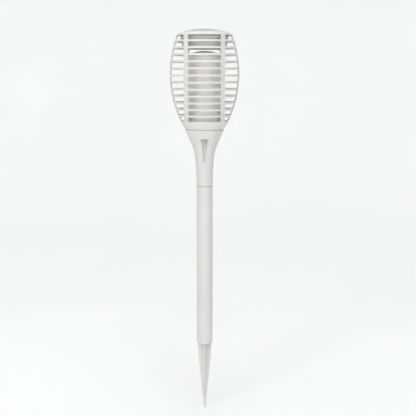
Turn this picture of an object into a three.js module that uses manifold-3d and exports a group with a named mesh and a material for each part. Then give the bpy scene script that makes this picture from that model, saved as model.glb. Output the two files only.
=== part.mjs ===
// Solar garden torch: a slotted lantern head on a slim pole with a ground spike.
// Millimetres, +Z up. The origin is the tip of the spike, on the torch's axis.
// The front of the torch faces -Y.
import * as THREE from "three";
import { mergeGeometries, mergeVertices } from "three/addons/utils/BufferGeometryUtils.js";
import { ConvexGeometry } from "three/addons/geometries/ConvexGeometry.js";
import Module from "manifold-3d";

const wasm = await Module();
wasm.setup();

// ---- Driving dimensions ----
const HEIGHT = 450;
const GAP = 0.3; // clearance between pieces that rest on each other

// Lantern barrel: one circular arc turned about the axis.
const BELLY_RADIUS = 39.7;
const BELLY_Z = 399;
const BARREL_ARC = 121.5;
const CAGE_WALL = 2;

// Slots: rows at equal steps of angle along the barrel's arc.
const SLOT_ROWS = 13;
const FIRST_ROW_DEG = 19.5;
const ROW_STEP_DEG = 3.658;
const SLOT_OPEN_DEG = 2.57;
const FRONT_SLOT_HALF_WIDTH = 17.9;
const SIDE_SLOT_START = 22.9;
const SIDE_POST_HALF_WIDTH = 2.5;

// Joints between the stacked pieces, from the bottom up.
const POLE_BOTTOM = 81.9;
const POLE_TOP = 270.85;
const NECK_TOP = 336.65;
const CAGE_BOTTOM = NECK_TOP + GAP;
const COLLAR_TOP = 342.5;
const LEDGE_Z = 442.9;

const DOME_SPHERE = 86; // radius of curvature of the domed top
const POLE_RADIUS = 9.4;
const SOCKET_RADIUS = 8.1;
const PLUG_RADIUS = SOCKET_RADIUS - GAP;
const PLUG_TOP = 108.5;
const SPIGOT_BOTTOM = 243;

// Lid and the module that hangs under it.
const LID_RADIUS = 29.8;
const WINDOW_RADIUS = 26;
const PANEL_RADIUS = 24.3;
const LID_FLOOR_TOP = 442.6;
const LID_FLOOR_BOTTOM = 441.2;
const MODULE_RADIUS = 25.4;
const MODULE_WALL = 1.3;
const MODULE_TOP = LID_FLOOR_BOTTOM - GAP;
const MODULE_BOTTOM = 428.4;
const MODULE_FLOOR = 429.8;
const BOSS_CIRCLE = 21.3;
const BOSS_COUNT = 4;
const LED_COUNT = 6;
const BATTERY_Y = -12.3;
const BATTERY_Z = 435.3;
const BATTERY_RADIUS = 5.1;
const BATTERY_LENGTH = 27.5;
const BATTERY_X = 0.9; // middle of its length
const BOARD_BOTTOM = 434.4;
const BOARD_TOP = 435.6;
const SWITCH_Y = 12.5;
const SWITCH_TRAVEL = 2.5;

const ROUND = 36; // sides of a large turned piece
const SMALL_ROUND = 16; // sides of a small one

// ---- Materials ----
const plastic = (color, roughness) => new THREE.MeshStandardMaterial({ color, roughness, metalness: 0 });
const metal = (color, roughness) => new THREE.MeshStandardMaterial({ color, roughness, metalness: 1 });
const shellWhite = plastic(0xeceae4, 0.45);
const milky = new THREE.MeshStandardMaterial({
  color: 0xf6efe0,
  roughness: 0.55,
  transparent: true,
  opacity: 0.85,
});
const clear = new THREE.MeshStandardMaterial({
  color: 0xf4f8fa,
  roughness: 0.08,
  transparent: true,
  opacity: 0.35,
});
const solarBlue = plastic(0x141c36, 0.25);
const rubberGrey = plastic(0x6f6f71, 0.7);
const moduleGrey = plastic(0xcecdcb, 0.5);
const boardGreen = plastic(0x1f5a36, 0.5);
const chipBlack = plastic(0x17181a, 0.5);
const ledAmber = plastic(0xf3c14c, 0.35);
const cellSleeve = plastic(0x3f7d4f, 0.4);
const screwSteel = metal(0xb9bcc0, 0.3);
const contactNickel = metal(0xc9c6bd, 0.35);
const wireRed = plastic(0xa3231f, 0.5);
const wireBlack = plastic(0x1a1a1c, 0.5);

// ---- Shape helpers ----
const radians = THREE.MathUtils.degToRad;

// A body turned about Z from [radius, height] pairs.
function turned(outline, sides = ROUND) {
  const points = outline.map(([r, z]) => new THREE.Vector2(r, z));
  return new THREE.LatheGeometry(points, sides).rotateX(Math.PI / 2);
}

// The same, for an outline that closes on itself away from the axis.
function ring(outline, sides = ROUND) {
  return turned([...outline, outline[0]], sides);
}

function rod(radius, bottom, top, sides = SMALL_ROUND) {
  return turned([[0, bottom], [radius, bottom], [radius, top], [0, top]], sides);
}

// A box between two corners.
function block(low, high) {
  const size = high.map((value, axis) => value - low[axis]);
  const middle = high.map((value, axis) => (value + low[axis]) / 2);
  return new THREE.BoxGeometry(...size).translate(...middle);
}

// A flat outline in X and Z, given a thickness along Y and centred on Y = 0.
function plate(shape, thickness, curveSegments = 6) {
  const geometry = new THREE.ExtrudeGeometry(shape, { depth: thickness, bevelEnabled: false, curveSegments });
  return geometry.translate(0, 0, -thickness / 2).rotateX(Math.PI / 2);
}

// A flat outline in X and Y, standing on the height given.
function slab(shape, bottom, top, curveSegments = 6) {
  const options = { depth: top - bottom, bevelEnabled: false, curveSegments };
  return new THREE.ExtrudeGeometry(shape, options).translate(0, 0, bottom);
}

// A round wire or coil along a list of points or a curve.
function wire(path, radius, steps, sides = 8) {
  const curve = Array.isArray(path)
    ? new THREE.CatmullRomCurve3(path.map((p) => new THREE.Vector3(...p)))
    : path;
  const section = new THREE.Shape(
    Array.from({ length: sides }, (_, i) => {
      const angle = (2 * Math.PI * i) / sides;
      return new THREE.Vector2(radius * Math.cos(angle), radius * Math.sin(angle));
    }),
  );
  return new THREE.ExtrudeGeometry(section, { extrudePath: curve, steps, bevelEnabled: false });
}

function solid(geometry) {
  const bare = geometry.clone();
  bare.deleteAttribute("normal");
  bare.deleteAttribute("uv");
  const merged = mergeVertices(bare, 1e-3);
  const mesh = new wasm.Mesh({
    numProp: 3,
    vertProperties: merged.attributes.position.array,
    triVerts: new Uint32Array(merged.index.array),
  });
  return new wasm.Manifold(mesh);
}

function geometryOf(manifold) {
  const mesh = manifold.getMesh();
  const geometry = new THREE.BufferGeometry();
  geometry.setAttribute("position", new THREE.BufferAttribute(mesh.vertProperties, 3));
  geometry.setIndex(new THREE.BufferAttribute(mesh.triVerts, 1));
  return geometry.toNonIndexed();
}

const joined = (first, ...others) =>
  geometryOf(others.reduce((whole, other) => whole.add(solid(other)), solid(first)));

const cut = (body, ...tools) =>
  geometryOf(tools.reduce((whole, tool) => whole.subtract(solid(tool)), solid(body)));

const shared = (first, second) => geometryOf(solid(first).intersect(solid(second)));

function piece(name, geometry, material) {
  const mesh = new THREE.Mesh(geometry, material);
  mesh.name = name;
  mesh.geometry.computeVertexNormals();
  return mesh;
}

const steps = (count) => Array.from({ length: count + 1 }, (_, i) => i / count);

// Points of an arc in the outline plane, angles in degrees from the outward radius.
const arc = (r, z, radius, from, to, count) =>
  steps(count).map((t) => {
    const angle = radians(from + (to - from) * t);
    return [r + radius * Math.cos(angle), z + radius * Math.sin(angle)];
  });

const barrelRadius = (z, inset = 0) =>
  BELLY_RADIUS - BARREL_ARC + Math.sqrt((BARREL_ARC - inset) ** 2 - (z - BELLY_Z) ** 2);

const barrel = (from, to, inset, count) =>
  steps(count).map((t) => {
    const z = from + (to - from) * t;
    return [barrelRadius(z, inset), z];
  });

const domeHeight = (r) => HEIGHT - DOME_SPHERE + Math.sqrt(DOME_SPHERE ** 2 - r ** 2);

const dome = (from, to, count) =>
  steps(count).map((t) => {
    const r = from + (to - from) * t;
    return [r, domeHeight(r)];
  });

// Places that share the circle of screw bosses.
const bossPlaces = Array.from({ length: BOSS_COUNT }, (_, i) => {
  const angle = (2 * Math.PI * i) / BOSS_COUNT;
  return [BOSS_CIRCLE * Math.cos(angle), BOSS_CIRCLE * Math.sin(angle)];
});

// ---- Ground spike: two crossed blades, with round webs that centre it in the pole ----
function groundSpike() {
  const bladeThickness = 1.8;
  const webThickness = 1.6;
  const tipHalfWidth = 0.8;
  const taperTop = 66.9;
  const chamfer = 1;
  const blade = new THREE.Shape();
  blade.moveTo(-tipHalfWidth, tipHalfWidth);
  blade.absarc(0, tipHalfWidth, tipHalfWidth, Math.PI, 2 * Math.PI, false);
  blade.lineTo(PLUG_RADIUS, taperTop);
  blade.lineTo(PLUG_RADIUS, PLUG_TOP - chamfer);
  blade.lineTo(PLUG_RADIUS - chamfer, PLUG_TOP);
  blade.lineTo(chamfer - PLUG_RADIUS, PLUG_TOP);
  blade.lineTo(-PLUG_RADIUS, PLUG_TOP - chamfer);
  blade.lineTo(-PLUG_RADIUS, taperTop);
  const wide = plate(blade, bladeThickness);
  const crossed = wide.clone().rotateZ(Math.PI / 2);
  const web = (top) => rod(PLUG_RADIUS - 0.02, top - webThickness, top, 24);
  return joined(wide, crossed, web(PLUG_TOP - chamfer), web(POLE_BOTTOM + 10));
}

// ---- Pole: a tube with a stepped socket at each end ----
function poleTube() {
  const boreRadius = 7;
  const edgeRadius = 1;
  const spigotStop = SPIGOT_BOTTOM - 1.5;
  const spikeStop = PLUG_TOP + GAP;
  return ring([
    [SOCKET_RADIUS, POLE_BOTTOM],
    ...arc(POLE_RADIUS - edgeRadius, POLE_BOTTOM + edgeRadius, edgeRadius, -90, 0, 4),
    [POLE_RADIUS, POLE_TOP],
    [SOCKET_RADIUS, POLE_TOP],
    [SOCKET_RADIUS, spigotStop],
    [boreRadius, spigotStop],
    [boreRadius, spikeStop],
    [SOCKET_RADIUS, spikeStop],
  ]);
}

// ---- Neck: a funnel that carries the lantern, with a spigot for the pole ----
// The outside of the neck, from its top edge down to the pole.
function neckOutside() {
  const bend = (from, control, to, count) => {
    const ends = [from, control, to].map((p) => new THREE.Vector2(...p));
    return new THREE.QuadraticBezierCurve(...ends).getPoints(count).map((p) => [p.x, p.y]);
  };
  return [
    [22.45, NECK_TOP],
    ...bend([14.9, 318.9], [11.66, 311.4], [10.95, 302.6], 6),
    ...bend([9.75, 287.8], [9.4, 283.5], [POLE_RADIUS, 278], 2),
    [POLE_RADIUS, POLE_TOP + GAP],
  ];
}

// The outline, at a distance in from the neck's front, of a pocket with a round lower end.
function pocketOutline(y, halfWidth, margin) {
  const top = 326.4;
  const endZ = 300.9;
  const half = halfWidth + margin;
  const end = arc(0, endZ, half, 180, 360, 8);
  return [[-half, top + margin], ...end, [half, top + margin]].map(([x, z]) => new THREE.Vector3(x, y, z));
}

// A pocket's flared solid: its floor stands upright in line with the neck's tube, so it is
// deepest at the top, where the neck flares out.
function pocket(margin) {
  const floorY = 8.2;
  const floorHalfWidth = 0.45;
  const flare = 0.46;
  const reach = 14;
  const back = pocketOutline(margin - floorY, floorHalfWidth, margin);
  const front = pocketOutline(-floorY - reach, floorHalfWidth + flare * reach, margin);
  return new ConvexGeometry([...back, ...front]);
}

function neck() {
  const spigotWall = 2;
  const collarRadius = 20.9;
  const collarBore = 19;
  const body = ring(
    [
      ...neckOutside(),
      [PLUG_RADIUS, POLE_TOP + GAP],
      [PLUG_RADIUS, SPIGOT_BOTTOM + 1],
      [PLUG_RADIUS - 0.5, SPIGOT_BOTTOM],
      [PLUG_RADIUS - spigotWall, SPIGOT_BOTTOM],
      [PLUG_RADIUS - spigotWall, 284],
      [8.2, 302],
      [9.6, 311],
      [12.4, 318.9],
      [18.6, 333.5],
      [collarBore, 335.5],
      [collarBore, COLLAR_TOP],
      [collarRadius, COLLAR_TOP],
      [collarRadius, NECK_TOP],
    ].reverse(),
  );
  const outside = turned([[0, POLE_TOP + GAP], ...neckOutside().reverse(), [0, NECK_TOP]]);
  const pocketWall = 1.4;
  const sides = [0, Math.PI];
  const linings = sides.map((turn) => shared(pocket(pocketWall).rotateZ(turn), outside));
  const pockets = sides.map((turn) => pocket(0).rotateZ(turn));
  return cut(joined(body, ...linings), ...pockets);
}

// ---- Cage: the slotted barrel ----
// Every slot's tool has flat ends and floors, square to the way the mould opens.
function slotTools() {
  const beyond = BELLY_RADIUS + 10;
  const tools = [];
  for (let row = 0; row < SLOT_ROWS; row++) {
    const middle = FIRST_ROW_DEG - row * ROW_STEP_DEG;
    const low = BELLY_Z + BARREL_ARC * Math.sin(radians(middle - SLOT_OPEN_DEG / 2));
    const high = BELLY_Z + BARREL_ARC * Math.sin(radians(middle + SLOT_OPEN_DEG / 2));
    tools.push(block([-FRONT_SLOT_HALF_WIDTH, -beyond, low], [FRONT_SLOT_HALF_WIDTH, beyond, high]));
    for (const x of [-1, 1]) {
      for (const y of [-1, 1]) {
        const inner = [x * SIDE_SLOT_START, y * SIDE_POST_HALF_WIDTH];
        const outer = [x * beyond, y * beyond];
        const corners = [0, 1].map((axis) => [inner[axis], outer[axis]].sort((a, b) => a - b));
        tools.push(block([corners[0][0], corners[1][0], low], [corners[0][1], corners[1][1], high]));
      }
    }
  }
  return mergeGeometries(tools);
}

function cage() {
  const ledgeBore = 27.6;
  const collarBore = 21.2;
  const rebateRadius = LID_RADIUS + GAP;
  const rimCorner = [30.1, 443.25]; // centre of the rounding between barrel and dome
  const rimRounding = 1.2;
  const shell = ring([
    [collarBore, CAGE_BOTTOM],
    ...barrel(CAGE_BOTTOM, BELLY_Z, 0, 9),
    ...barrel(BELLY_Z, 443.6, 0, 7).slice(1),
    ...arc(...rimCorner, rimRounding, 35, 70, 2),
    [rebateRadius, domeHeight(rebateRadius)],
    [rebateRadius, LEDGE_Z],
    [ledgeBore, LEDGE_Z],
    [ledgeBore, 441.6],
    ...barrel(439.5, 338.4, CAGE_WALL, 12),
    [collarBore, 338],
  ]);
  return cut(shell, slotTools());
}

// ---- Flame diffuser: a frosted, dome-topped cup that stands on the neck's collar ----
function flameDiffuser() {
  const top = 425;
  const shoulder = 416.7;
  const radius = 20.5;
  const wall = 1.5;
  const rise = (r, a, b) => shoulder + b * Math.sqrt(Math.max(0, 1 - (r / a) ** 2));
  const crown = (a, b) =>
    steps(6).map((t) => {
      const r = a * Math.sin((t * Math.PI) / 2);
      return [r, rise(r, a, b)];
    });
  const foot = COLLAR_TOP + GAP;
  const plug = 18.7;
  return turned(
    [
      ...crown(radius, top - shoulder),
      [radius + 0.4, foot],
      [plug, foot],
      [plug, foot - 4],
      [plug - wall, foot - 4],
      [plug - wall, foot + 1],
      [radius + 0.4 - wall, foot + 3],
      ...crown(radius - wall, top - shoulder - wall).reverse(),
    ].reverse(),
  );
}

// ---- Lid: a domed bezel with a tray for the solar panel and a skirt for the module ----
function lid() {
  const windowSeat = WINDOW_RADIUS + GAP;
  const trayRadius = PANEL_RADIUS + GAP;
  const ledge = 444.4;
  const skirtInner = 25.7;
  const skirtOuter = 27.3;
  const skirtBottom = 438.6;
  const leadHole = 2.5;
  const groove = { low: 441.5, high: 442.7, radius: 26.5 };
  const flange = LEDGE_Z + GAP;
  const shell = ring([
    [LID_RADIUS, flange],
    [LID_RADIUS, domeHeight(LID_RADIUS) - 0.35],
    ...dome(LID_RADIUS - 0.35, windowSeat, 3),
    [windowSeat, ledge],
    [trayRadius, ledge],
    [trayRadius, LID_FLOOR_TOP],
    [leadHole, LID_FLOOR_TOP],
    [leadHole, LID_FLOOR_BOTTOM],
    [skirtInner, LID_FLOOR_BOTTOM],
    [skirtInner, skirtBottom],
    [skirtOuter, skirtBottom],
    [skirtOuter, groove.low],
    [groove.radius, groove.low],
    [groove.radius, groove.high],
    [skirtOuter, groove.high],
    [skirtOuter, flange],
  ]);
  const bossRadius = 2.6;
  const pilotRadius = 1.2;
  const bossBottom = MODULE_FLOOR + GAP;
  const bosses = bossPlaces.map(([x, y]) =>
    rod(bossRadius, bossBottom, LID_FLOOR_BOTTOM + 0.5).translate(x, y, 0),
  );
  const pilots = bossPlaces.map(([x, y]) =>
    rod(pilotRadius, bossBottom - 1, LID_FLOOR_BOTTOM - 1, 8).translate(x, y, 0),
  );
  return cut(joined(shell, ...bosses), ...pilots);
}

function lidSeal() {
  const section = 0.45;
  const middle = 27;
  return ring(arc(middle, 442.1, section, 0, 300, 5));
}

function solarWindow() {
  const underside = 444.7;
  return turned([[0, underside], [WINDOW_RADIUS, underside], ...dome(WINDOW_RADIUS, 0, 6)]);
}

function solarPanel() {
  return rod(PANEL_RADIUS, LID_FLOOR_TOP + GAP, 444.4, ROUND);
}

// ---- Light module: battery, boards and switch under the lid ----
const doorHalf = { x: 18.5, y: 6 };
const doorScrewX = 16.6;
const lightHole = 6.5;
const switchSlot = { x: 3, y: 1.5 };

function moduleHousing() {
  const inner = MODULE_RADIUS - MODULE_WALL;
  const seatRadius = 7.2;
  const seatTop = 431.6;
  const openingHalf = { x: 16.6, y: 5.2 };
  const cup = ring([
    [lightHole, MODULE_BOTTOM],
    [MODULE_RADIUS - 0.8, MODULE_BOTTOM],
    [MODULE_RADIUS, MODULE_BOTTOM + 0.8],
    [MODULE_RADIUS, MODULE_TOP],
    [inner, MODULE_TOP],
    [inner, MODULE_FLOOR],
    [seatRadius, MODULE_FLOOR],
    [seatRadius, seatTop],
    [lightHole, seatTop],
  ]);
  const pillars = [-14, 14].map((x) =>
    rod(1.5, MODULE_FLOOR - 0.5, BOARD_BOTTOM - GAP, 12).translate(x, SWITCH_Y, 0),
  );
  const low = MODULE_BOTTOM - 1;
  const high = MODULE_FLOOR + 0.1;
  const doorway = block(
    [BATTERY_X - openingHalf.x, BATTERY_Y - openingHalf.y, low],
    [BATTERY_X + openingHalf.x - 2, BATTERY_Y + openingHalf.y, high],
  );
  const slot = block(
    [-switchSlot.x, SWITCH_Y - switchSlot.y, low],
    [switchSlot.x, SWITCH_Y + switchSlot.y, high],
  );
  const screwHoles = bossPlaces.map(([x, y]) => rod(1.2, low, high, 8).translate(x, y, 0));
  return cut(joined(cup, ...pillars), doorway, slot, ...screwHoles);
}

function batteryDoor() {
  const corner = 2;
  const { x, y } = doorHalf;
  const shape = new THREE.Shape();
  shape.moveTo(-x + corner, -y);
  shape.lineTo(x - corner, -y);
  shape.quadraticCurveTo(x, -y, x, -y + corner);
  shape.lineTo(x, y - corner);
  shape.quadraticCurveTo(x, y, x - corner, y);
  shape.lineTo(-x + corner, y);
  shape.quadraticCurveTo(-x, y, -x, y - corner);
  shape.lineTo(-x, -y + corner);
  shape.quadraticCurveTo(-x, -y, -x + corner, -y);
  const door = slab(shape, MODULE_BOTTOM - GAP - 1.2, MODULE_BOTTOM - GAP, 3).translate(0, BATTERY_Y, 0);
  const hole = rod(1.2, MODULE_BOTTOM - 3, MODULE_BOTTOM + 1, 8).translate(doorScrewX, BATTERY_Y, 0);
  return cut(door, hole);
}

// A pan-head screw standing head down, its head's seat at z = 0.
function screw(length) {
  const shank = 0.9;
  const head = 1.9;
  const underHead = [[0, -1.1], [1.3, -1.1], [head, -0.6], [head, 0]];
  return turned([...underHead, [shank, 0], [shank, length], [0, length]], 12);
}

function controlBoard() {
  const half = 16.5;
  const back = 7.4;
  const front = 18.2;
  const corner = 14;
  const shape = new THREE.Shape([
    new THREE.Vector2(-half, back),
    new THREE.Vector2(half, back),
    new THREE.Vector2(half, corner),
    new THREE.Vector2(half - 4, front),
    new THREE.Vector2(4 - half, front),
    new THREE.Vector2(-half, corner),
  ]);
  return slab(shape, BOARD_BOTTOM, BOARD_TOP);
}

function batteryCell() {
  const buttonRadius = 1.9;
  const shoulder = BATTERY_LENGTH - 1;
  const cell = turned([
    [0, 0],
    [BATTERY_RADIUS - 0.4, 0],
    [BATTERY_RADIUS, 0.4],
    [BATTERY_RADIUS, shoulder - 0.4],
    [BATTERY_RADIUS - 0.4, shoulder],
    [buttonRadius, shoulder],
    [buttonRadius, BATTERY_LENGTH],
    [0, BATTERY_LENGTH],
  ], 24);
  return cell.rotateY(Math.PI / 2).translate(-BATTERY_LENGTH / 2, 0, 0);
}

// A conical coil that presses on the cell's flat end.
class ConeCoil extends THREE.Curve {
  constructor(wide, narrow, length, turns) {
    super();
    Object.assign(this, { wide, narrow, length, turns });
  }

  getPoint(t, target = new THREE.Vector3()) {
    const angle = 2 * Math.PI * this.turns * t;
    const radius = this.wide + (this.narrow - this.wide) * t;
    return target.set(this.length * t, radius * Math.cos(angle), radius * Math.sin(angle));
  }
}

// ---- Assembly ----
const torch = new THREE.Group();

const spikeGroup = new THREE.Group();
spikeGroup.add(piece("ground_spike", groundSpike(), shellWhite));

const poleGroup = new THREE.Group();
poleGroup.add(piece("pole_tube", poleTube(), shellWhite));

const headGroup = new THREE.Group();
headGroup.add(piece("neck", neck(), shellWhite));
headGroup.add(piece("cage", cage(), shellWhite));
headGroup.add(piece("flame_diffuser", flameDiffuser(), milky));

const lidGroup = new THREE.Group();
lidGroup.add(piece("lid", lid(), shellWhite));
lidGroup.add(piece("lid_seal", lidSeal(), rubberGrey));
lidGroup.add(piece("solar_window", solarWindow(), clear));
lidGroup.add(piece("solar_panel", solarPanel(), solarBlue));
lidGroup.add(piece("module_housing", moduleHousing(), moduleGrey));
lidGroup.add(piece("battery_door", batteryDoor(), moduleGrey));
lidGroup.add(piece("control_board", controlBoard(), boardGreen));

const lightWindow = piece("light_window", rod(lightHole - GAP, MODULE_BOTTOM, 429.6, 24), clear);
const lightBoard = piece("light_board", rod(7, 431.9, 433.1, 24), boardGreen);
lidGroup.add(lightWindow, lightBoard);

const ledCircle = 3.9;
const ledHalf = 1.3;
for (let i = 0; i < LED_COUNT; i++) {
  const led = piece(`led_${i + 1}`, block([-ledHalf, -ledHalf, -0.5], [ledHalf, ledHalf, 0.5]), ledAmber);
  const angle = (2 * Math.PI * i) / LED_COUNT;
  led.position.set(ledCircle * Math.cos(angle), ledCircle * Math.sin(angle), 431.1);
  led.rotation.z = angle;
  lidGroup.add(led);
}

const moduleScrewLength = 9;
bossPlaces.forEach(([x, y], i) => {
  const fastener = piece(`module_screw_${i + 1}`, screw(moduleScrewLength), screwSteel);
  fastener.position.set(x, y, MODULE_BOTTOM - GAP);
  lidGroup.add(fastener);
});

const doorScrew = piece("door_screw", screw(1.3), screwSteel);
doorScrew.position.set(doorScrewX, BATTERY_Y, MODULE_BOTTOM - 2 * GAP - 1.2);
lidGroup.add(doorScrew);

const battery = piece("battery_cell", batteryCell(), cellSleeve);
battery.position.set(BATTERY_X, BATTERY_Y, BATTERY_Z);
lidGroup.add(battery);

const positiveX = BATTERY_X + BATTERY_LENGTH / 2 + GAP;
const contact = piece("battery_contact", block([0, -3.5, -4], [0.5, 3.5, 4]), contactNickel);
contact.position.set(positiveX, BATTERY_Y, BATTERY_Z - 0.5);
lidGroup.add(contact);

const springLength = 1.9;
const coil = new ConeCoil(3.4, 2, springLength, 2.5);
const spring = piece("battery_spring", wire(coil, 0.35, 30, 6), contactNickel);
spring.position.set(BATTERY_X - BATTERY_LENGTH / 2 - GAP - 0.4 - springLength, BATTERY_Y, BATTERY_Z);
lidGroup.add(spring);

const chip = piece("driver_chip", block([-2.5, -2, 0], [2.5, 2, 1.5]), chipBlack);
chip.position.set(-6, 13.5, BOARD_TOP + GAP);
const choke = piece("charge_coil", rod(2.4, 0, 3.2), chipBlack);
choke.position.set(8.5, 13, BOARD_TOP + GAP);
lidGroup.add(chip, choke);

const switchBody = piece("switch_body", block([-4.3, -2.2, 0], [4.3, 2.2, 4]), chipBlack);
switchBody.position.set(0, SWITCH_Y, MODULE_FLOOR + GAP);
lidGroup.add(switchBody);

const knobHalf = 1;
const knob = piece("switch_knob", block([-knobHalf, -knobHalf, -2.6], [knobHalf, knobHalf, 0]), rubberGrey);
knob.position.set(-SWITCH_TRAVEL / 2, SWITCH_Y, MODULE_FLOOR);
lidGroup.add(knob);

// Leads: from the panel and the light board to the control board, and from the cell's contacts.
const leadRadius = 0.55;
const leadEnd = BOARD_TOP + leadRadius + 0.1;
for (const [side, colour, end] of [[-1, wireBlack, "negative"], [1, wireRed, "positive"]]) {
  const panelRoute = [
    [side, 0, LID_FLOOR_TOP],
    [side * 1.1, 0.6, 440.3],
    [side * 1.6, 4, 438.3],
    [side * 2.2, 9.2, leadEnd + 0.3],
  ];
  lidGroup.add(piece(`panel_lead_${end}`, wire(panelRoute, leadRadius, 8), colour));
  const lightRoute = [
    [side * 2, 4.2, 433.9],
    [side * 3, 5.9, 434.3],
    [side * 4, 6, 436.6],
    [side * 4.6, 8.8, leadEnd + 0.3],
  ];
  lidGroup.add(piece(`light_lead_${end}`, wire(lightRoute, leadRadius, 8), colour));
  const startX = side > 0 ? positiveX + 1.2 : -17;
  const cellRoute = [
    [startX, BATTERY_Y + 2, 438.2],
    [side * 16.9, -6, 438.6],
    [side * 16, 3, 438],
    [side * 12.5, 9, leadEnd + 0.4],
  ];
  lidGroup.add(piece(`cell_lead_${end}`, wire(cellRoute, leadRadius, 8), colour));
}

torch.add(spikeGroup, poleGroup, headGroup, lidGroup);
export default torch;
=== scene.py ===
"""Looks for a slim solar garden torch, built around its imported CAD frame.

Lengths are millimetres unless a comment says metres, and meshes are made from them in metres. Z is up
and the front faces -Y.
"""

import math

import bmesh
import bpy
from mathutils import Matrix, Vector


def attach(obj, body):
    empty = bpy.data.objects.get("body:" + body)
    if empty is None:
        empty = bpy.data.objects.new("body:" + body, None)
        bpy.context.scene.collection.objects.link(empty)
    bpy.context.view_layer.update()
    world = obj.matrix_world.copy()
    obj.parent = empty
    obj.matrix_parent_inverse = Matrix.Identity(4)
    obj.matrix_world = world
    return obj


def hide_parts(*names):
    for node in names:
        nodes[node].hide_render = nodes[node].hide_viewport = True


MM = 0.001
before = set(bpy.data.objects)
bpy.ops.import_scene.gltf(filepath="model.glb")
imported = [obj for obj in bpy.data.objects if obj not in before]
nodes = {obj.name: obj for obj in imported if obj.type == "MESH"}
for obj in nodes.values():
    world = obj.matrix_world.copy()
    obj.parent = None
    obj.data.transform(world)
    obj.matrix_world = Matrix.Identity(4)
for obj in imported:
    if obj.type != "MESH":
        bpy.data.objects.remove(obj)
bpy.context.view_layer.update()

# ---- Dimensions shared with the CAD frame, mm ----
HEIGHT = 450
BELLY_RADIUS = 39.7
BELLY_Z = 399
BARREL_ARC = 121.5
CAGE_WALL = 2
SLOT_ROWS = 13
FIRST_ROW_DEG = 19.5
ROW_STEP_DEG = 3.658
SLOT_OPEN_DEG = 2.57
FRONT_SLOT_HALF_WIDTH = 17.9
SIDE_SLOT_START = 22.9
SIDE_POST_HALF_WIDTH = 2.5
GAP = 0.3
POLE_BOTTOM = 81.9
POLE_TOP = 270.85
NECK_TOP = 336.65
CAGE_BOTTOM = NECK_TOP + GAP
COLLAR_TOP = 342.5
LEDGE_Z = 442.9
DOME_SPHERE = 86
POLE_RADIUS = 9.4
SOCKET_RADIUS = 8.1
PLUG_RADIUS = SOCKET_RADIUS - GAP
PLUG_TOP = 108.5
SPIGOT_BOTTOM = 243
LID_RADIUS = 29.8
WINDOW_RADIUS = 26
PANEL_RADIUS = 24.3
LID_FLOOR_TOP = 442.6
LID_FLOOR_BOTTOM = 441.2
MODULE_RADIUS = 25.4
MODULE_WALL = 1.3
MODULE_TOP = LID_FLOOR_BOTTOM - GAP
MODULE_BOTTOM = 428.4
MODULE_FLOOR = 429.8
BOSS_CIRCLE = 21.3
BATTERY_Y = -12.3
BATTERY_X = 0.9
DOOR_SCREW_X = 16.6
LED_CIRCLE = 3.9
LED_COUNT = 6
SWITCH_Y = 12.5
SWITCH_TRAVEL = 2.5

sin, cos, tau = math.sin, math.cos, math.tau


# ---- Node trees ----
class Tree:
    """The node tree of a material or world, with short calls that add nodes and link them."""

    def __init__(self, owner):
        owner.use_nodes = True
        self.tree = owner.node_tree

    def node(self, kind, **settings):
        made = self.tree.nodes.new(kind)
        for key, value in settings.items():
            setattr(made, key, value)
        return made

    def link(self, output, socket):
        self.tree.links.new(output, socket)

    def spread(self, value, low, high, start=0.3, end=0.7, **settings):
        """Maps start..end to low..high. Noise fields lie mostly between 0.3 and 0.7."""
        remap = self.node("ShaderNodeMapRange", **settings)
        for socket, number in zip(("From Min", "From Max", "To Min", "To Max"), (start, end, low, high)):
            remap.inputs[socket].default_value = number
        self.link(value, remap.inputs["Value"])
        return remap.outputs["Result"]

    def maths(self, operation, *values):
        node = self.node("ShaderNodeMath", operation=operation)
        for value, socket in zip(values, node.inputs):
            if isinstance(value, (int, float)):
                socket.default_value = value
            else:
                self.link(value, socket)
        return node.outputs["Value"]

    def axes(self, vector):
        split = self.node("ShaderNodeSeparateXYZ")
        self.link(vector, split.inputs["Vector"])
        return split.outputs


class Surface(Tree):
    """A material with one Principled shader, its fields driven by object-space patterns."""

    def __init__(self, name, **values):
        self.material = bpy.data.materials.new(name)
        super().__init__(self.material)
        self.shader = self.tree.nodes["Principled BSDF"]
        for socket, value in values.items():
            self.shader.inputs[socket.replace("_", " ")].default_value = value
        self.coords = self.node("ShaderNodeTexCoord").outputs["Object"]

    def stretched(self, x, y, z):
        mapping = self.node("ShaderNodeMapping")
        mapping.inputs["Scale"].default_value = (x, y, z)
        self.link(self.coords, mapping.inputs["Vector"])
        return mapping.outputs["Vector"]

    def noise(self, scale, detail=3.0, coords=None):
        noise = self.node("ShaderNodeTexNoise")
        noise.inputs["Scale"].default_value = scale
        noise.inputs["Detail"].default_value = detail
        self.link(coords or self.coords, noise.inputs["Vector"])
        return noise.outputs["Fac"]

    def ramp(self, value, low_color, high_color):
        """Runs from one colour to the other where the value goes from 0.3 to 0.7."""
        ramp = self.node("ShaderNodeValToRGB")
        stops = ((0.3, low_color), (0.7, high_color))
        for element, (position, color) in zip(ramp.color_ramp.elements, stops):
            element.position = position
            element.color = (*color, 1)
        self.link(value, ramp.inputs["Fac"])
        return ramp.outputs["Color"]

    def color(self, output):
        self.link(output, self.shader.inputs["Base Color"])

    def roughness(self, output):
        self.link(output, self.shader.inputs["Roughness"])

    def bump(self, height, distance, strength=1.0):
        bump = self.node("ShaderNodeBump")
        bump.inputs["Strength"].default_value = strength
        bump.inputs["Distance"].default_value = distance * MM
        self.link(height, bump.inputs["Height"])
        self.link(bump.outputs["Normal"], self.shader.inputs["Normal"])


# ---- Materials ----
def shade(color, factor):
    return tuple(min(1.0, c * factor) for c in color)


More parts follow.
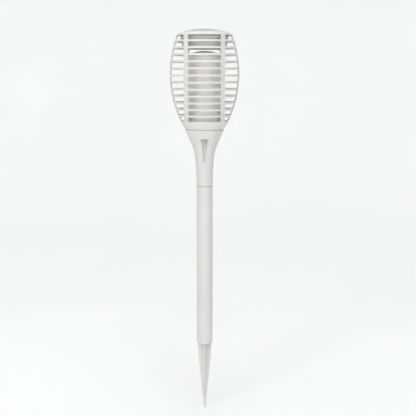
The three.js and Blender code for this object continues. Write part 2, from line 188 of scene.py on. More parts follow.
def moulded(name, color, low, high, grain=2000, depth=0.035, streak=1.0, **values):
    """Moulded plastic: an etched grain, long shallow waves, faint flow streaks, and uneven gloss."""
    t = Surface(name, IOR=1.49, **values)
    cloud = t.noise(28, 4, t.stretched(1, 1, 0.35))
    fine = t.noise(grain, 2)
    drift = 0.035 * streak
    t.color(t.ramp(cloud, shade(color, 1 - drift), shade(color, 1 + drift)))
    mottled = t.maths("ADD", t.maths("MULTIPLY", cloud, 0.6), t.maths("MULTIPLY", fine, 0.4))
    t.roughness(t.spread(mottled, low, high))
    waves = t.noise(140, 2)
    t.bump(t.maths("ADD", fine, t.maths("MULTIPLY", waves, 1.6)), depth, 0.8)
    return t.material


def shell_plastic(name, color):
    glow = {"Subsurface_Weight": 0.08, "Subsurface_Scale": 0.001, "Subsurface_Radius": (1, 0.95, 0.88)}
    return moulded(name, color, 0.34, 0.5, **glow)


def frosted_plastic():
    """Milky plastic with a fine sandblasted surface, which light soaks into."""
    glow = {"Subsurface_Weight": 0.5, "Subsurface_Scale": 0.003, "Subsurface_Radius": (1, 0.93, 0.82)}
    t = Surface("frosted_diffuser", IOR=1.46, **glow)
    cloud = t.noise(60, 4)
    fine = t.noise(4200, 2)
    t.color(t.ramp(cloud, (0.86, 0.835, 0.77), (0.93, 0.91, 0.86)))
    t.roughness(t.spread(fine, 0.48, 0.66))
    t.bump(fine, 0.02, 0.7)
    return t.material


def clear_plastic():
    """Clear from above, and more solid where it is seen at a slant, with faint scratches."""
    t = Surface("clear_window", IOR=1.49, Specular_IOR_Level=0.35)
    facing = t.node("ShaderNodeLayerWeight").outputs["Facing"]
    t.link(t.spread(facing, 0.04, 0.75, 0.58, 0.96), t.shader.inputs["Alpha"])
    haze = t.noise(45, 4)
    t.color(t.ramp(haze, (0.4, 0.44, 0.46), (0.45, 0.49, 0.51)))
    scratches = t.noise(240, 5, t.stretched(1, 6, 1))
    t.roughness(t.spread(scratches, 0.1, 0.2))
    t.bump(t.noise(90, 1), 0.012, 0.3)
    return t.material


def silicon():
    """Dark blue cells with fine silver fingers across them."""
    t = Surface("solar_cell", IOR=1.6, Coat_Weight=0.6, Coat_Roughness=0.08)
    pitch, finger_share = 1.3 * MM, 0.09
    phase = t.maths("FRACT", t.maths("DIVIDE", t.axes(t.coords)["Y"], pitch))
    finger = t.maths("LESS_THAN", phase, finger_share)
    grains = t.noise(420, 3)
    blue = t.ramp(grains, (0.008, 0.014, 0.045), (0.018, 0.034, 0.1))
    mix = t.node("ShaderNodeMix", data_type="RGBA")
    t.link(finger, mix.inputs["Factor"])
    t.link(blue, mix.inputs["A"])
    mix.inputs["B"].default_value = (0.3, 0.32, 0.36, 1)
    t.color(mix.outputs["Result"])
    t.roughness(t.spread(grains, 0.2, 0.34))
    t.bump(finger, 0.015, 0.5)
    return t.material


def metal(name, color, low, high, grain=(1, 1, 1)):
    """Plated metal with a fine brushed grain, drawn out where an axis has a low scale."""
    t = Surface(name, Metallic=1.0)
    brushed = t.noise(900, 3, t.stretched(*grain))
    t.color(t.ramp(brushed, shade(color, 0.86), shade(color, 1.06)))
    t.roughness(t.spread(brushed, low, high))
    t.bump(brushed, 0.006, 0.4)
    return t.material


def circuit_board():
    """Green mask over copper tracks, which show as paler lines."""
    t = Surface("circuit_board", IOR=1.5)
    tracks = t.node("ShaderNodeTexBrick", offset=0.5)
    tracks.inputs["Scale"].default_value = 320
    tracks.inputs["Mortar Size"].default_value = 0.06
    tracks.inputs["Color1"].default_value = (0.012, 0.11, 0.04, 1)
    tracks.inputs["Color2"].default_value = (0.016, 0.14, 0.05, 1)
    tracks.inputs["Mortar"].default_value = (0.03, 0.22, 0.09, 1)
    t.link(t.coords, tracks.inputs["Vector"])
    t.color(tracks.outputs["Color"])
    speck = t.noise(1500, 2)
    t.roughness(t.spread(speck, 0.3, 0.45))
    t.bump(tracks.outputs["Fac"], 0.03, 0.5)
    return t.material


def floor_paper():
    t = Surface("studio_paper", Roughness=0.9)
    cloud = t.noise(3, 2)
    t.color(t.ramp(cloud, (0.885, 0.885, 0.88), (0.9, 0.9, 0.895)))
    return t.material


WHITE = (0.71, 0.705, 0.685)
shell = shell_plastic("shell_plastic", WHITE)
pole_plastic = shell_plastic("pole_plastic", shade(WHITE, 0.985))
spike_plastic = moulded("spike_plastic", shade(WHITE, 0.97), 0.4, 0.58, grain=1800, depth=0.03, streak=1.6)
frosted = frosted_plastic()
clear = clear_plastic()
cells = silicon()
rubber = moulded("seal_rubber", (0.16, 0.16, 0.165), 0.6, 0.8, grain=1500, depth=0.03)
module_plastic = moulded("module_plastic", (0.62, 0.615, 0.6), 0.42, 0.58, grain=2000, depth=0.03)
board = circuit_board()
epoxy = moulded("chip_epoxy", (0.016, 0.016, 0.018), 0.4, 0.55, grain=3500, depth=0.01)
amber = moulded("led_amber", (0.85, 0.5, 0.1), 0.12, 0.22, depth=0.003)
package = moulded("led_package", (0.8, 0.79, 0.75), 0.35, 0.45, depth=0.004)
sleeve = moulded("cell_sleeve", (0.05, 0.24, 0.1), 0.22, 0.34, grain=900, depth=0.008)
steel = metal("screw_steel", (0.6, 0.61, 0.62), 0.25, 0.4)
nickel = metal("contact_nickel", (0.66, 0.62, 0.55), 0.2, 0.34, (1, 8, 1))
tinned = metal("tinned_busbar", (0.72, 0.73, 0.74), 0.25, 0.38, (6, 1, 1))
red_vinyl = moulded("wire_red_vinyl", (0.42, 0.02, 0.015), 0.35, 0.5, grain=1800, depth=0.006)
black_vinyl = moulded("wire_black_vinyl", (0.018, 0.018, 0.02), 0.35, 0.5, grain=1800, depth=0.006)
backing = moulded("panel_backing", (0.2, 0.21, 0.22), 0.3, 0.42, grain=1500, depth=0.006)


# ---- Mesh helpers ----
SMOOTH_DEG = 32  # faces that meet at less than this look smooth
ROUND_DEG = 152  # corners blunter than this stay as they are
ROUND_SHARE = 0.45  # the most of an edge that a rounding takes


class Skin:
    """The points, in mm, and faces of one mesh. A ring is a list of its points' indices."""

    def __init__(self):
        self.verts, self.faces = [], []

    def ring(self, points):
        first = len(self.verts)
        self.verts += points
        return list(range(first, len(self.verts)))

    def bridge(self, rings, closed=False, wrap=True):
        """Quads between neighbouring rings of equal length; repeated corners are dropped."""
        pairs = list(zip(rings, rings[1:])) + ([(rings[-1], rings[0])] if closed else [])
        for a, b in pairs:
            count = len(a)
            for i in range(count if wrap else count - 1):
                j = (i + 1) % count
                corners = list(dict.fromkeys((a[i], a[j], b[j], b[i])))
                if len(corners) > 2:
                    self.faces.append(corners)

    def box(self, low, high):
        xs, ys, zs = zip(low, high)
        ring = self.ring([(x, y, z) for x in xs for y in ys for z in zs])
        sides = [(0, 1, 3, 2), (4, 6, 7, 5), (0, 4, 5, 1), (2, 3, 7, 6), (0, 2, 6, 4), (1, 5, 7, 3)]
        self.faces += [[ring[k] for k in side] for side in sides]
        return self


def clean(mesh, merge):
    """Merges points closer than a distance in metres, drops empty faces and turns all faces out."""
    bm = bmesh.new()
    bm.from_mesh(mesh)
    bmesh.ops.remove_doubles(bm, verts=bm.verts, dist=merge)
    bmesh.ops.dissolve_degenerate(bm, edges=bm.edges, dist=1e-8)
    bmesh.ops.recalc_face_normals(bm, faces=bm.faces)
    bm.to_mesh(mesh)
    bm.free()


def finish_mesh(mesh, material, smooth_deg=SMOOTH_DEG):
    mesh.materials.clear()
    mesh.materials.append(material)
    mesh.shade_smooth()
    mesh.set_sharp_from_angle(angle=math.radians(smooth_deg))


def build(name, skin, material, smooth_deg=SMOOTH_DEG):
    """A mesh object from a skin."""
    mesh = bpy.data.meshes.new(name)
    mesh.from_pydata([Vector(v) * MM for v in skin.verts], [], skin.faces)
    clean(mesh, 2e-7)
    finish_mesh(mesh, material, smooth_deg)
    made = bpy.data.objects.new(name, mesh)
    bpy.context.scene.collection.objects.link(made)
    return made


def bevelled(made, width, segments=2, limit_deg=38):
    """Rounds the edges sharper than an angle, by a width in mm."""
    bevel = made.modifiers.new("edges", "BEVEL")
    bevel.width = width * MM
    bevel.segments = segments
    bevel.limit_method = "ANGLE"
    bevel.angle_limit = math.radians(limit_deg)
    bevel.harden_normals = True
    return made


def place(made, body, slot, *replaced):
    """Fixes a piece to a body and hides the CAD nodes that it stands for. The slot is not used."""
    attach(made, body)
    if replaced:
        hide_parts(*replaced)
    return made


def combine(made, tools, operation, smooth_deg=SMOOTH_DEG):
    """Applies exact booleans of the tools, which are then gone."""
    for tool in tools:
        boolean = made.modifiers.new("cut", "BOOLEAN")
        boolean.solver = "EXACT"
        boolean.operation = operation
        boolean.object = tool
    bpy.context.view_layer.update()
    result = bpy.data.meshes.new_from_object(made.evaluated_get(bpy.context.evaluated_depsgraph_get()))
    made.modifiers.clear()
    material = made.data.materials[0]
    made.data = result
    clean(result, 2e-6)
    finish_mesh(result, material, smooth_deg)
    for tool in tools:
        bpy.data.objects.remove(tool)
    return made


def fillet(points, radius, steps=3, closed=True):
    """Rounds the corners of an outline; gentle bends are left alone."""
    rounded = []
    count = len(points)
    for i, point in enumerate(points):
        here = Vector(point)
        before = Vector(points[i - 1]) - here
        after = Vector(points[(i + 1) % count]) - here
        is_end = not closed and i in (0, count - 1)
        if is_end or before.angle(after) > math.radians(ROUND_DEG):
            rounded.append(point)
            continue
        most = ROUND_SHARE * min(before.length, after.length)
        reach = min(radius / math.tan(before.angle(after) / 2), most)
        start = here + before.normalized() * reach
        end = here + after.normalized() * reach
        rounded += curve(start, here, end, steps)
    return rounded


def curve(start, control, end, steps):
    """Points along a quadratic curve, as tuples."""
    ends = Vector(start), Vector(end)
    control = Vector(control)
    points = []
    for k in range(steps + 1):
        t = k / steps
        points.append(tuple(ends[0] * (1 - t) ** 2 + control * 2 * t * (1 - t) + ends[1] * t * t))
    return points


def turned(name, profile, material, segments=96, closed=False):
    """A lathed piece from a profile of radius and height."""
    skin = Skin()
    angles = [tau * i / segments for i in range(segments)]
    rings = []
    for r, z in profile:
        if r < 1e-6:
            rings.append(skin.ring([(0, 0, z)]) * segments)
        else:
            rings.append(skin.ring([(r * cos(a), r * sin(a), z) for a in angles]))
    skin.bridge(rings, closed)
    return build(name, skin, material)


def block(name, low, high, material, bevel=0):
    made = build(name, Skin().box(low, high), material)
    return bevelled(made, bevel) if bevel else made


def barrel_radius(z, inset=0):
    """The cage's outside radius at a height, or that of a surface inset from it."""
    return BELLY_RADIUS - BARREL_ARC + math.sqrt((BARREL_ARC - inset) ** 2 - (z - BELLY_Z) ** 2)


def dome_height(r):
    return HEIGHT - DOME_SPHERE + math.sqrt(DOME_SPHERE**2 - r * r)


def dome(start, end, count):
    """Points on the top's dome between two radii."""
    radii = [start + (end - start) * k / count for k in range(count + 1)]
    return [(r, dome_height(r)) for r in radii]


def on_circle(radius, angle, z):
    """A point at an angle that runs from the front, -Y, towards +X."""
    return (radius * sin(angle), -radius * cos(angle), z)


def lerp(a, b, t):
    return a + (b - a) * t


# ---- Cage: 13 rows of slots in 6 columns, each slot in a cell of its own ----
SEAM_ROUNDING = 1.1
SLOT_CORNER = 0.95
CORNER_STEPS = 4
FRONT_STEPS = 24
SIDE_STEPS = 20
COLUMNS = 6
POST_MIDDLE = (FRONT_SLOT_HALF_WIDTH + SIDE_SLOT_START) / 2
SLOTS_TOP = 442.45
SOLID_BELOW_SLOTS = 1.15


def slot_limits(row):
    """The heights of a row's lower and upper edges."""
    middle = FIRST_ROW_DEG - row * ROW_STEP_DEG
    edges = (middle - SLOT_OPEN_DEG / 2, middle + SLOT_OPEN_DEG / 2)
    return [BELLY_Z + BARREL_ARC * sin(math.radians(edge)) for edge in edges]


def column_steps(column):
    is_front_or_back = column % 3 == 0
    return FRONT_STEPS if is_front_or_back else SIDE_STEPS


def column_edges(column, radius):
    """Angles of a column's slot edges and of the post middles beside it, at this radius."""
    front = math.asin(FRONT_SLOT_HALF_WIDTH / radius)
    post = math.asin(POST_MIDDLE / radius)
    start = math.asin(SIDE_SLOT_START / radius)
    side = math.asin(SIDE_POST_HALF_WIDTH / radius)
    quarter = math.pi / 2
    first, second = (start, quarter - side), (quarter + side, math.pi - start)
    edges = [
        (-front, front, -post, post),
        (*first, post, quarter),
        (*second, quarter, math.pi - post),
        (math.pi - front, math.pi + front, math.pi - post, math.pi + post),
        (math.pi + first[0], math.pi + first[1], math.pi + post, 3 * quarter),
        (math.pi + second[0], math.pi + second[1], 3 * quarter, tau - post),
    ]
    return edges[column]


def cell_loops(column, low, high, floor, ceiling, inset):
    """A slot's rounded outline and the border of the cell around it, point for point."""
    steps = column_steps(column)
    hole, border = [], []

    def edge(angle_of, z):
        radius = barrel_radius(z, inset)
        return on_circle(radius, angle_of(column_edges(column, radius), radius), z)

    def side_angle(right, offset):
        def angle_of(edges, radius):
            return edges[1] - offset / radius if right else edges[0] + offset / radius

        return angle_of

    def straight(z_hole, z_border, reverse):
        for k in range(1, steps):
            t = 1 - k / steps if reverse else k / steps

            def angle_of(edges, radius):
                inner = SLOT_CORNER / radius
                return lerp(edges[0] + inner, edges[1] - inner, t)

            hole.append(edge(angle_of, z_hole))
            border.append(edge(angle_of, z_border))

    def corner(right, top):
        z_slot, z_border, sign = (high, ceiling, -1) if top else (low, floor, 1)
        level = z_slot + sign * SLOT_CORNER
        order = range(CORNER_STEPS + 1)
        from_flat = right == top  # whether the loop reaches this corner along the flat edge
        for k in order if from_flat else reversed(order):
            turn = math.pi / 2 * k / CORNER_STEPS
            offset = SLOT_CORNER * (1 - sin(turn))
            hole.append(edge(side_angle(right, offset), z_slot + sign * SLOT_CORNER * (1 - cos(turn))))
            share = 2 * k / CORNER_STEPS

            def along_flat(edges, radius):
                flat = side_angle(right, SLOT_CORNER)(edges, radius)
                return lerp(flat, edges[3] if right else edges[2], min(share, 1))

            border.append(edge(along_flat, z_border if share <= 1 else lerp(z_border, level, share - 1)))

    corner(False, True)
    straight(high, ceiling, False)
    corner(True, True)
    corner(True, False)
    straight(low, floor, True)
    corner(False, False)
    return hole, border


def rim_angles(z, inset):
    """The cell border's angles, all round the cage, at a rim of the slotted part."""
    radius = barrel_radius(z, inset)
    angles = []
    for column in range(COLUMNS):
        steps = column_steps(column)
        left, right, before, after = column_edges(column, radius)
        inner = SLOT_CORNER / radius
        flat = [lerp(left + inner, right - inner, k / steps) for k in range(steps + 1)]
        half = CORNER_STEPS // 2
        lead = [lerp(before, flat[0], k / half) for k in range(half)]
        trail = [lerp(flat[-1], after, k / half) for k in range(1, half)]
        angles += lead + flat + trail
    return angles


def cage_rows():
    """Each row as its slots' lower and upper edges and its cells' lower and upper borders."""
    limits = [slot_limits(row) for row in range(SLOT_ROWS)]
    rows = []
    for row, (low, high) in enumerate(limits):
        ceiling = SLOTS_TOP if row == 0 else (high + limits[row - 1][0]) / 2
        floor = low - SOLID_BELOW_SLOTS if row == SLOT_ROWS - 1 else (low + limits[row + 1][1]) / 2
        rows.append((low, high, floor, ceiling))
    return rows


def cage_top():
    """Profiles, outside and inside, from the slots up over the rim to the ledge under the lid."""
    rim_x, rim_z, rim_r = 30.1, 443.25, 1.2
    turns = [math.radians(a) for a in (28, 38, 48, 59, 70)]
    rim = [(rim_x + rim_r * cos(a), rim_z + rim_r * sin(a)) for a in turns]
    rebate, chamfer = LID_RADIUS + GAP, 0.15
    lip = dome_height(rebate)
    outside = [(barrel_radius(z), z) for z in (SLOTS_TOP, 442.9, 443.4)] + rim
    outside += [(rebate + chamfer, lip), (rebate, lip - chamfer), (rebate, LEDGE_Z)]
    mouth = 27.6
    inside = [(mouth, LEDGE_Z), (mouth, SLOTS_TOP), (barrel_radius(SLOTS_TOP, CAGE_WALL), SLOTS_TOP)]
    return outside, inside


def cage_foot(bottom):
    """Profiles, outside and inside, from the slots down to the seam with the neck."""
    levels = [lerp(bottom, CAGE_BOTTOM, k / 6) for k in range(5)] + [CAGE_BOTTOM + SEAM_ROUNDING * 1.6]
    outside = [(barrel_radius(z), z) for z in levels]
    for share, inset in ((1, 0.05), (0.5, 0.28), (0.15, 0.62), (0, 1.05)):
        z = CAGE_BOTTOM + SEAM_ROUNDING * share
        outside.append((barrel_radius(z) - inset, z))
    collar_bore = 21.2
    inside = [(collar_bore, CAGE_BOTTOM), (collar_bore, 338)]
    inside += [(barrel_radius(z, CAGE_WALL), z) for z in (338.5, 340.2, 342, 343.8, bottom)]
    return outside, inside


def cage_skin():
    """All the slots' cells, outside and inside, and the solid parts above and below them."""
    skin = Skin()
    rows = cage_rows()
    for row in rows:
        for column in range(COLUMNS):
            hole, border = [skin.ring(points) for points in cell_loops(column, *row, 0)]
            inner_hole, inner_border = [skin.ring(points) for points in cell_loops(column, *row, CAGE_WALL)]
            skin.bridge([border, hole, inner_hole, inner_border])
    bottom = rows[-1][2]
    for z, profiles in ((SLOTS_TOP, cage_top()), (bottom, cage_foot(bottom))):
        rings = []
        for profile, inset in zip(profiles, (0, CAGE_WALL)):
            angles = rim_angles(z, inset)
            rings += [skin.ring([on_circle(r, a, height) for a in angles]) for r, height in profile]
        skin.bridge(rings)
    return skin


cage = bevelled(build("cage_shell", cage_skin(), shell, 40), 0.28, 2, 42)
place(cage, "head", "shell", "cage")


# ---- Neck, with its tapered pocket front and back ----
POCKET_TOP = 326.4
POCKET_END = 300.9
POCKET_FLOOR_Y = 8.2
POCKET_FLOOR_HALF = 0.45
POCKET_FLARE = 0.46
POCKET_WALL = 1.4
POCKET_STEPS = 16
PATCH_TOP = 328.3  # the patch of surface that the pocket is cut into
PATCH_BOTTOM = 297.4
PATCH_HALF = 5.7
PATCH_THIRDS = (2 / 3, 1 / 3, 0)
UPPER_BEND = curve((14.9, 318.9), (11.66, 311.4), (10.95, 302.6), 24)
LOWER_BEND = curve((9.75, 287.8), (9.4, 283.5), (POLE_RADIUS, 278), 12)
NECK_OUTLINE = [(22.45, NECK_TOP), *UPPER_BEND, *LOWER_BEND, (POLE_RADIUS, POLE_TOP + GAP)]
NECK_SIDE_STEPS = 30


def neck_radius(z):
    for (r1, z1), (r2, z2) in zip(NECK_OUTLINE, NECK_OUTLINE[1:]):
        if z >= z2:
            return lerp(r2, r1, (z - z2) / (z1 - z2))
    return POLE_RADIUS


def pocket_half():
    """The right half of the pocket's outline, from its top corner to its lower end.

    Each point is (surface x, surface z, floor x, floor z). The walls lean outwards from an
    upright floor, so the width depends on the depth, which depends on the width: a few rounds
    settle both.
    """
    levels = [lerp(POCKET_TOP, POCKET_END, k / POCKET_STEPS) for k in range(POCKET_STEPS + 1)]
    turns = [(0, z) for z in levels] + [(math.pi / 2 * k / 6, POCKET_END) for k in range(1, 7)]
    rounds = 8
    outline = []
    for turn, z in turns:
        half = POCKET_FLOOR_HALF
        for _ in range(rounds):
            x, height = half * cos(turn), z - half * sin(turn)
            depth = math.sqrt(neck_radius(height) ** 2 - x * x) - POCKET_FLOOR_Y
            half = POCKET_FLOOR_HALF + POCKET_FLARE * depth
        outline.append((x, height, POCKET_FLOOR_HALF * cos(turn), z - POCKET_FLOOR_HALF * sin(turn)))
    return outline


def on_neck(x, z, facing):
    """A point on the funnel, on the front where facing is 1 and on the back where it is -1."""
    return (facing * x, -facing * math.sqrt(neck_radius(z) ** 2 - x * x), z)


def on_floor(x, z, facing):
    return (facing * x, -facing * POCKET_FLOOR_Y, z)


def mirrored(half):
    """A half outline that ends on the middle line, and its mirror image back up."""
    return half + [(-x, z) for x, z in reversed(half[:-1])]


def ring_angles(xs, radius):
    """Angles all round the neck that meet both patches' points at this radius."""
    front = [math.asin(x / radius) for x in xs]
    steps = range(1, NECK_SIDE_STEPS)
    side = [lerp(front[-1], math.pi + front[0], k / NECK_SIDE_STEPS) for k in steps]
    half = front + side
    return half + [a + math.pi for a in half]


def neck_collar(top_edge):
    """The outline from the seam's edge up and over the collar to the funnel's inside."""
    bore, radius = 19, 20.9
    corners = [(top_edge - 1.25, NECK_TOP), (radius, NECK_TOP), (radius, COLLAR_TOP)]
    corners += [(bore, COLLAR_TOP), (bore, 335.5), (18.6, 333.5)]
    return fillet(corners, 0.3, 3, closed=False)


def neck_inside():
    """The funnel's inside, from below the collar down to where the spigot's bore begins."""
    ceiling = POCKET_TOP + POCKET_WALL
    slope = [(lerp(12.4, 18.6, (z - 318.9) / 14.6), z) for z in (ceiling + 0.3, ceiling, 323)]
    return [*slope, (12.4, 318.9), (9.6, 311), (8.2, 302)]


def neck_skin():
    """A patch with a pocket in front and behind, plain sides between them, and the rest in rings."""
    skin = Skin()
    pocket = pocket_half()
    corner = pocket[0][0]
    side_levels = [z for _, z, _, _ in pocket[:POCKET_STEPS + 1]]
    low_levels = [lerp(POCKET_END, PATCH_BOTTOM, k / 3) for k in (1, 2, 3)]
    border_half = [(PATCH_HALF, z) for z in side_levels + low_levels]
    border_half += [(PATCH_HALF * share, PATCH_BOTTOM) for share in PATCH_THIRDS]
    top_xs = [-PATCH_HALF, -corner, -corner / 2, 0, corner / 2, corner, PATCH_HALF]
    low_xs = [PATCH_HALF * k / 3 for k in range(-3, 4)]
    head = [(x, POCKET_TOP) for x in [-corner, *top_xs[1:-1], corner]]
    floor = [(x, z) for _, _, x, z in pocket]
    border = [(x, PATCH_TOP) for x in top_xs] + mirrored(border_half)
    rim = head + mirrored([(x, z) for x, z, _, _ in pocket])
    share = POCKET_FLOOR_HALF / corner
    loop = [(x * share, z) for x, z in head] + mirrored(floor)
    for facing in (1, -1):
        loops = [skin.ring([on_neck(x, z, facing) for x, z in outline]) for outline in (border, rim)]
        loops.append(skin.ring([on_floor(x, z, facing) for x, z in loop]))
        skin.bridge(loops)
        across = [skin.ring([on_floor(x * k / 2, z, facing) for k in range(-2, 3)]) for x, z in floor]
        skin.bridge(across, wrap=False)

    levels = [PATCH_TOP] + side_levels + low_levels
    for turn in (0, math.pi):
        columns = []
        for z in levels:
            radius = neck_radius(z)
            edge = math.asin(PATCH_HALF / radius)
            shares = [k / NECK_SIDE_STEPS for k in range(NECK_SIDE_STEPS + 1)]
            side = [lerp(edge, math.pi - edge, share) + turn for share in shares]
            columns.append(skin.ring([on_circle(radius, a, z) for a in side]))
        skin.bridge(columns, wrap=False)

    upper = ring_angles(top_xs, neck_radius(PATCH_TOP))
    lower = ring_angles(low_xs, neck_radius(PATCH_BOTTOM))

    def ring(r, z, angles):
        return skin.ring([on_circle(r, a, z) for a in angles])

    def lined_ring(r, z):
        """A ring of the funnel's inside, held back where the pocket's lining stands."""
        lined = z < POCKET_TOP + POCKET_WALL + 0.1
        reach = POCKET_FLOOR_Y - POCKET_WALL
        near = math.asin(0.8 * corner / neck_radius(POCKET_TOP))
        points = []
        for a in upper:
            held = lined and (abs(a) <= near or abs(a - math.pi) <= near)
            points.append(on_circle(min(r, reach / abs(cos(a))) if held else r, a, z))
        return skin.ring(points)

    above = [PATCH_TOP, 329.5, 331, 333, 335, NECK_TOP - SEAM_ROUNDING]
    rings = [ring(neck_radius(z), z, upper) for z in above]
    top_edge = neck_radius(NECK_TOP)
    seam = [(top_edge - 0.5, NECK_TOP - 0.55), (top_edge - 0.8, NECK_TOP - 0.17), (top_edge - 1.2, NECK_TOP)]
    rings += [ring(r, z, upper) for r, z in seam + neck_collar(top_edge)]
    rings += [lined_ring(r, z) for r, z in neck_inside()]
    shoulder = POLE_TOP + GAP
    spigot = [(PLUG_RADIUS - 2, 284), (PLUG_RADIUS - 2, SPIGOT_BOTTOM), (PLUG_RADIUS - 0.6, SPIGOT_BOTTOM)]
    spigot += [(PLUG_RADIUS, SPIGOT_BOTTOM + 1.2), (PLUG_RADIUS, shoulder)]
    spigot += [(POLE_RADIUS - 0.8, shoulder), (POLE_RADIUS - 0.3, shoulder + 0.2)]
    spigot += [(POLE_RADIUS - 0.06, shoulder + 0.55)]
    rings += [ring(r, z, lower) for r, z in spigot]
    below = [shoulder + 0.95, 274.5, *(z for _, z in reversed(LOWER_BEND)), 292, 295, PATCH_BOTTOM]
    rings += [ring(neck_radius(z), z, lower) for z in below]
    skin.bridge(rings)
    return skin


neck = bevelled(build("neck_funnel", neck_skin(), shell, 40), 0.3, 3, 48)
place(neck, "head", "shell", "neck")


# ---- Pole ----
def pole_profile():
    """Up the outside from a rounded lower end, over the seam's edge, and down the stepped bore."""
    edge, body_steps = 1.1, 12
    turns = [math.radians(a) for a in range(-90, 1, 15)]
    outside = [(POLE_RADIUS - edge + edge * cos(t), POLE_BOTTOM + edge + edge * sin(t)) for t in turns]
    shares = [k / body_steps for k in range(1, body_steps + 1)]
    outside += [(POLE_RADIUS, lerp(POLE_BOTTOM + edge, POLE_TOP - 0.95, share)) for share in shares]
    outside += [(POLE_RADIUS - 0.06, POLE_TOP - 0.55), (POLE_RADIUS - 0.3, POLE_TOP - 0.2)]
    outside.append((POLE_RADIUS - 0.8, POLE_TOP))
    spigot_stop, spike_stop, bore = SPIGOT_BOTTOM - 1.5, PLUG_TOP + GAP, 7
    inside = fillet(
        [(POLE_RADIUS, POLE_TOP), (SOCKET_RADIUS, POLE_TOP), (SOCKET_RADIUS, spigot_stop),
         (bore, spigot_stop), (bore, spike_stop), (SOCKET_RADIUS, spike_stop),
         (SOCKET_RADIUS, POLE_BOTTOM)], 0.25, 2, closed=False)
    return outside + inside[1:]


place(turned("pole_body", pole_profile(), pole_plastic, 96, True), "pole", "shell", "pole_tube")


# ---- Ground spike: crossed blades with rounded edges, and round webs inside the pole ----
BLADE_HALF_THICKNESS = 0.9
BLADE_EDGE = 0.4
BLADE_ROOT = 0.45


def blade_section(half_width, side=BLADE_HALF_THICKNESS, root=BLADE_ROOT):
    """One ring of a cross section: four arms with rounded ends and filleted roots."""
    points = []
    for arm in range(4):
        turn = math.pi / 2 * arm
        local = []
        r = min(BLADE_EDGE, side * 0.9)
        for a in range(-90, 91, 30):
            angle = math.radians(a)
            shift = (side - r) * ((a > 0) - (a < 0))
            local.append((half_width - r + r * cos(angle), shift + r * sin(angle)))
        for share in (0.66, 0.33):
            local.append((lerp(side + root, half_width - r, share), side))
        centre = side + root
        turns = [math.radians(a) for a in (0, 22.5, 45, 67.5, 90)]
        local += [(centre - root * sin(t), centre - root * cos(t)) for t in turns]
        for share in (0.33, 0.66):
            local.append((side, lerp(side + root, half_width - r, share)))
        points += [(x * cos(turn) - y * sin(turn), x * sin(turn) + y * cos(turn)) for x, y in local]
    return points


def spike_skin():
    """From the ground up: a rounded tip, tapering blades, and two webs on straight ones."""
    skin = Skin()
    rings = []

    def ring(z, *section):
        rings.append(skin.ring([(x, y, z) for x, y in blade_section(*section)]))

    def disc(z, radius):
        section = [(x, y, math.hypot(x, y)) for x, y in blade_section(PLUG_RADIUS)]
        rings.append(skin.ring([(radius * x / r, radius * y / r, z) for x, y, r in section]))

    def web(top):
        radius, depth, edge = PLUG_RADIUS - 0.02, 1.6, 0.25
        ring(top - depth, PLUG_RADIUS)
        disc(top - depth, radius - edge)
        disc(top - depth + edge, radius)
        disc(top - edge, radius)
        disc(top, radius - edge)
        ring(top, PLUG_RADIUS)

    tip_half, taper_top, tip_steps, taper_steps = 0.8, 66.9, 4, 14
    corners = len(blade_section(PLUG_RADIUS))
    rings.append(skin.ring([(0, 0, 0)]) * corners)
    for k in range(1, tip_steps + 1):
        turn = math.pi / 2 * k / tip_steps
        half = tip_half * sin(turn)
        ring(tip_half * (1 - cos(turn)), half, half * 0.62, half * 0.2)
    for k in range(1, taper_steps + 1):
        t = k / taper_steps
        side = min(BLADE_HALF_THICKNESS, lerp(0.5, 1.2, t * 3))
        ring(lerp(tip_half, taper_top, t), lerp(tip_half, PLUG_RADIUS, t), side, min(BLADE_ROOT, 0.16 + t))
    ring(POLE_BOTTOM - 6, PLUG_RADIUS)
    web(POLE_BOTTOM + 10)
    web(PLUG_TOP - 1)
    ring(PLUG_TOP - 0.9, PLUG_RADIUS)
    ring(PLUG_TOP, PLUG_RADIUS - 1, BLADE_HALF_THICKNESS - 0.05)
    rings.append(skin.ring([(0, 0, PLUG_TOP)]) * corners)
    skin.bridge(rings)
    return skin


place(build("spike_blades", spike_skin(), spike_plastic, 35), "spike", "shell", "ground_spike")


# ---- Flame diffuser ----
def diffuser_profile():
    """A domed cup, mouth down, that widens a little to a plug in the neck's collar."""
    top, shoulder, radius, wall, draft = 425, 416.7, 20.5, 1.5, 0.4
    foot, plug = COLLAR_TOP + GAP, 18.7

    def crown(a, b):
        turns = [math.pi / 2 * k / 20 for k in range(21)]
        return [(a * sin(t), shoulder + b * cos(t)) for t in turns]

    lower = fillet(
        [(radius + draft, foot), (plug, foot), (plug, foot - 4), (plug - wall, foot - 4),
         (plug - wall, foot + 1), (radius + draft - wall, foot + 3)], 0.25, 2, closed=False)
    outer = crown(radius, top - shoulder)
    straight = [(radius + draft * k / 8, lerp(shoulder, foot + 0.4, k / 8)) for k in range(1, 9)]
    inner = crown(radius - wall, top - shoulder - wall)
    return outer + straight + [(radius + 0.15, foot)] + lower[1:] + inner[::-1]


place(turned("diffuser_cup", diffuser_profile(), frosted, 96), "head", "frosted", "flame_diffuser")


# ---- Lid, window and solar panel ----
def boss_places():
    """The four screws' places, from the right round through the back."""
    return [(BOSS_CIRCLE * cos(tau * k / 4), BOSS_CIRCLE * sin(tau * k / 4)) for k in range(4)]


def moved(made, x, y):
    """Places a boolean's tool, turned a little so that its corners miss those of the piece."""
    slight_turn = Matrix.Rotation(0.07, 4, "Z")
    made.data.transform(Matrix.Translation((x * MM, y * MM, 0)) @ slight_turn)
    return made


